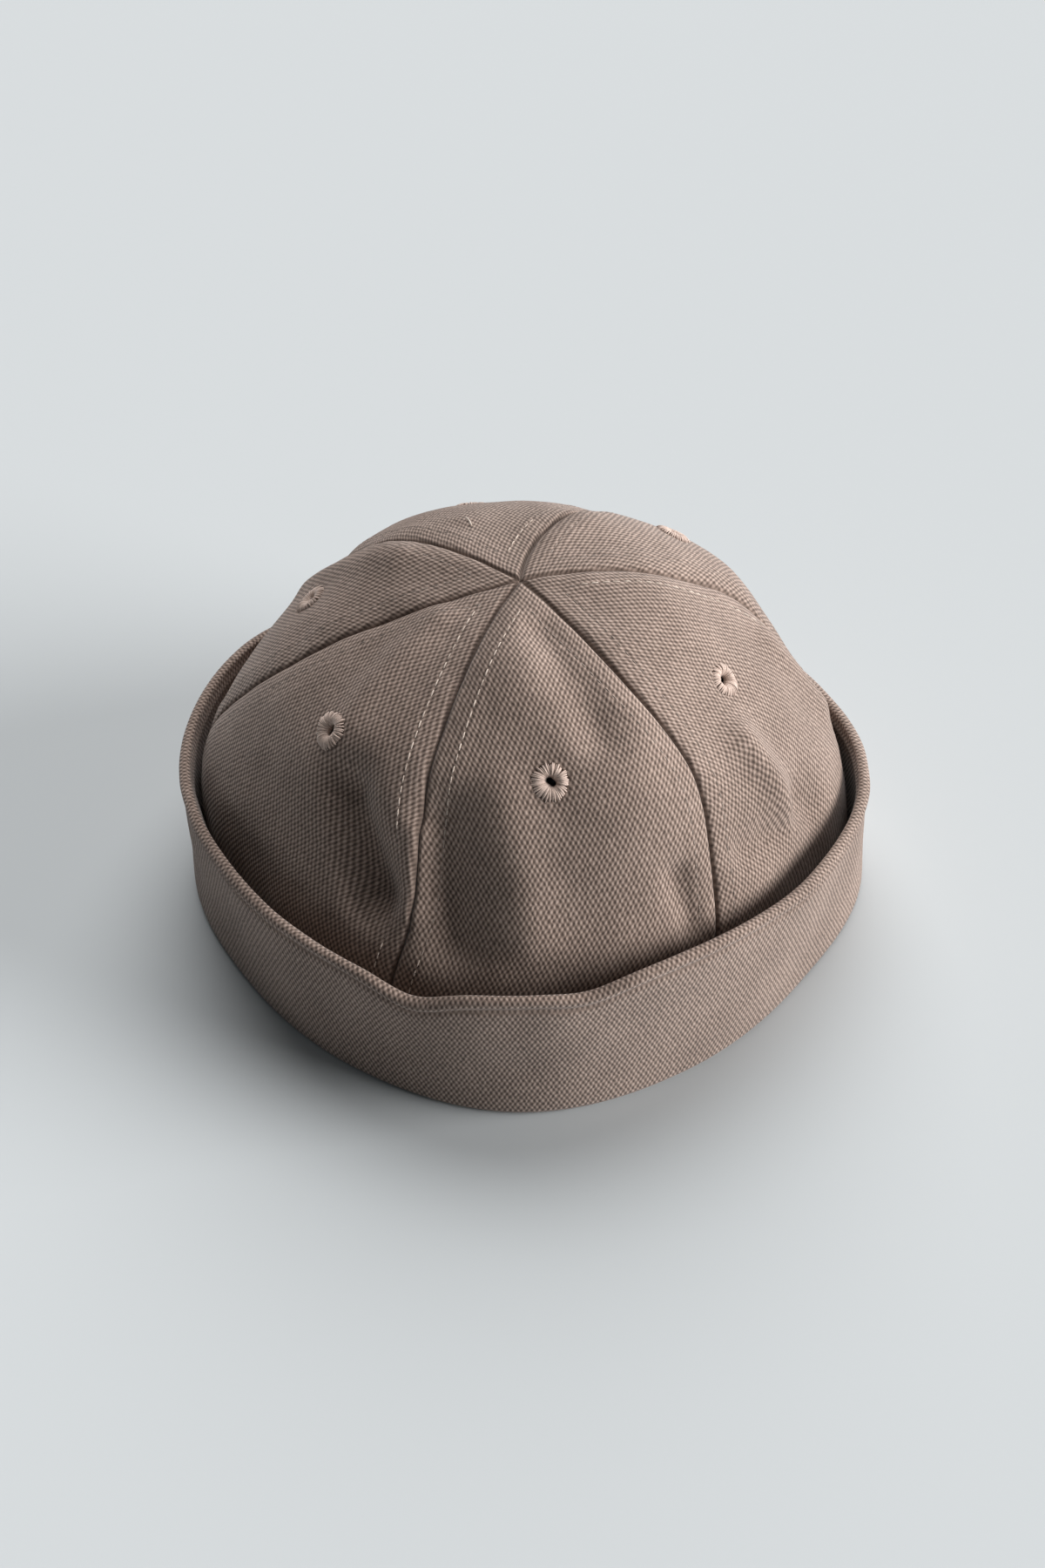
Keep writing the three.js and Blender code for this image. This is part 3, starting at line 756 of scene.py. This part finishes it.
direction = 90 + np.linspace(0, 360, CUFF_AROUND, endpoint=False)
section = cuff_section(direction)
closed = np.concatenate([section, section[:, :1]], 1)
lengths = np.linalg.norm(np.diff(closed, axis=1), axis=-1)
run = np.concatenate([np.zeros((CUFF_AROUND, 1)), np.cumsum(lengths, 1)], 1)
share = np.linspace(0, 1, CUFF_STEPS, endpoint=False)
fine = np.stack([
    np.stack([np.interp(share * r[-1], r, line[:, k]) for k in range(2)], -1)
    for r, line in zip(run, closed)
])
soft = (np.roll(fine, 1, 1) + 2 * fine + np.roll(fine, -1, 1)) / 4
out = heading(direction)
points = out[:, None] * soft[..., :1] + np.array([0, 0, 1.0]) * soft[..., 1:]
up = soft[..., 1]
height = cuff_at(direction)[2][:, None]
free = smoothstep(0.004, 0.022, up) * (1 - smoothstep(0.96, 1.0, up / height))
wave = CUFF_WAVE[0] * soft_noise(points * [1, 1, 0.45], CUFF_WAVE[1], 11)
wave = wave + CUFF_RIPPLE[0] * soft_noise(points, CUFF_RIPPLE[1], 12)
from_crease = height - up - CREASE_DROP
outside = share < 0.5
crease = -CREASE_DEPTH * np.exp(-((from_crease / CREASE_WIDTH) ** 2)) * outside
points = points + out[:, None] * ((wave + crease) * free)[..., None]
index = np.arange(CUFF_AROUND * CUFF_STEPS).reshape(CUFF_AROUND, CUFF_STEPS)
onward = np.roll(index, -1, 0)
faces = np.stack([index, onward, np.roll(onward, -1, 1), np.roll(index, -1, 1)], -1).reshape(-1, 4)
# The weave goes a whole number of times round the band and round its section.
girth_line = points[:, GIRTH_STEP]
steps = np.linalg.norm(np.diff(girth_line, axis=0, append=girth_line[:1]), axis=-1)
around_run = np.append(0, np.cumsum(steps))
girth = np.round(around_run[-1] * 1000 / WEAVE_ACROSS) * WEAVE_ACROSS
across = around_run[:-1, None] / around_run[-1] * girth + 0 * up
section_girth = np.round(run[:, -1].mean() * 1000 / WEAVE_DOWN) * WEAVE_DOWN
uv = np.stack([across, -share * section_girth + 0 * up], -1).reshape(-1, 2)
# Painted shade along the crease on the outer face: the colour darkens and the weave flattens there.
turned_in = np.exp(-((from_crease / CREASE_PAINTED_SHADE_WIDTH) ** 2)) * outside * CREASE_PAINTED_SHADE
cuff = mesh_object(
    "turned_up_cuff", points.reshape(-1, 3), faces, uv, (girth, section_girth), turned_in=turned_in
)
cuff.data.materials.append(canvas)
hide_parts("cuff")


# ---- Floor, light and camera
# A plain pale surface under two broad soft lights: a low one from the right and a higher one from
# behind. A faint even sky fills the shadows.

floor_mesh = bpy.data.meshes.new("floor")
floor_mesh.from_pydata([(-4, -4, 0), (4, -4, 0), (4, 4, 0), (-4, 4, 0)], [], [(0, 1, 2, 3)])
floor = bpy.data.objects.new("floor", floor_mesh)
bpy.context.scene.collection.objects.link(floor)
material, nodes, links, shader = new_material("pale_floor")
shader.inputs["Base Color"].default_value = (0.545, 0.582, 0.60, 1)
shader.inputs["Roughness"].default_value = 0.9
floor_mesh.materials.append(material)

world = bpy.data.worlds.new("studio")
world.use_nodes = True
world.node_tree.nodes["Background"].inputs[0].default_value = (0.93, 0.97, 1.0, 1)
world.node_tree.nodes["Background"].inputs[1].default_value = 0.09
bpy.context.scene.world = world


def sun(name, direction, elevation, strength, spread, colour):
    """A sun lamp that shines from a direction and elevation in degrees."""
    lamp = bpy.data.lights.new(name, "SUN")
    lamp.energy = strength
    lamp.angle = np.radians(spread)
    lamp.color = colour
    obj = bpy.data.objects.new(name, lamp)
    obj.rotation_euler = (np.radians(90 - elevation), 0, np.radians(direction + 90))
    bpy.context.scene.collection.objects.link(obj)


sun("key", 352, 13, 5.6, 40, (1.0, 0.975, 0.96))
sun("back", 85, 48, 3.1, 60, (1.0, 0.98, 0.97))

# The photo's height in pixels, and its pixels per metre at the point that the camera looks at.
PHOTO_HEIGHT = 1800
PHOTO_SCALE = 3700
SENSOR_HEIGHT = 36
DISTANCE = 1 / 1.2
ELEVATION = np.radians(45)
TARGET = np.array([0.00064, -0.0032, 0.040])
view = np.array([0, np.cos(ELEVATION), -np.sin(ELEVATION)])
target = TARGET - MIDDLE
camera = bpy.data.objects.new("camera", bpy.data.cameras.new("camera"))
camera.location = target - view * DISTANCE
camera.rotation_euler = (np.pi / 2 - ELEVATION, 0, 0)
camera.data.sensor_fit = "VERTICAL"
camera.data.sensor_height = SENSOR_HEIGHT
camera.data.lens = SENSOR_HEIGHT * PHOTO_SCALE * DISTANCE / PHOTO_HEIGHT
camera.data.clip_end = 20
bpy.context.scene.collection.objects.link(camera)
bpy.context.scene.camera = camera
bpy.context.scene.view_settings.view_transform = "Standard"

bpy.context.view_layer.update()
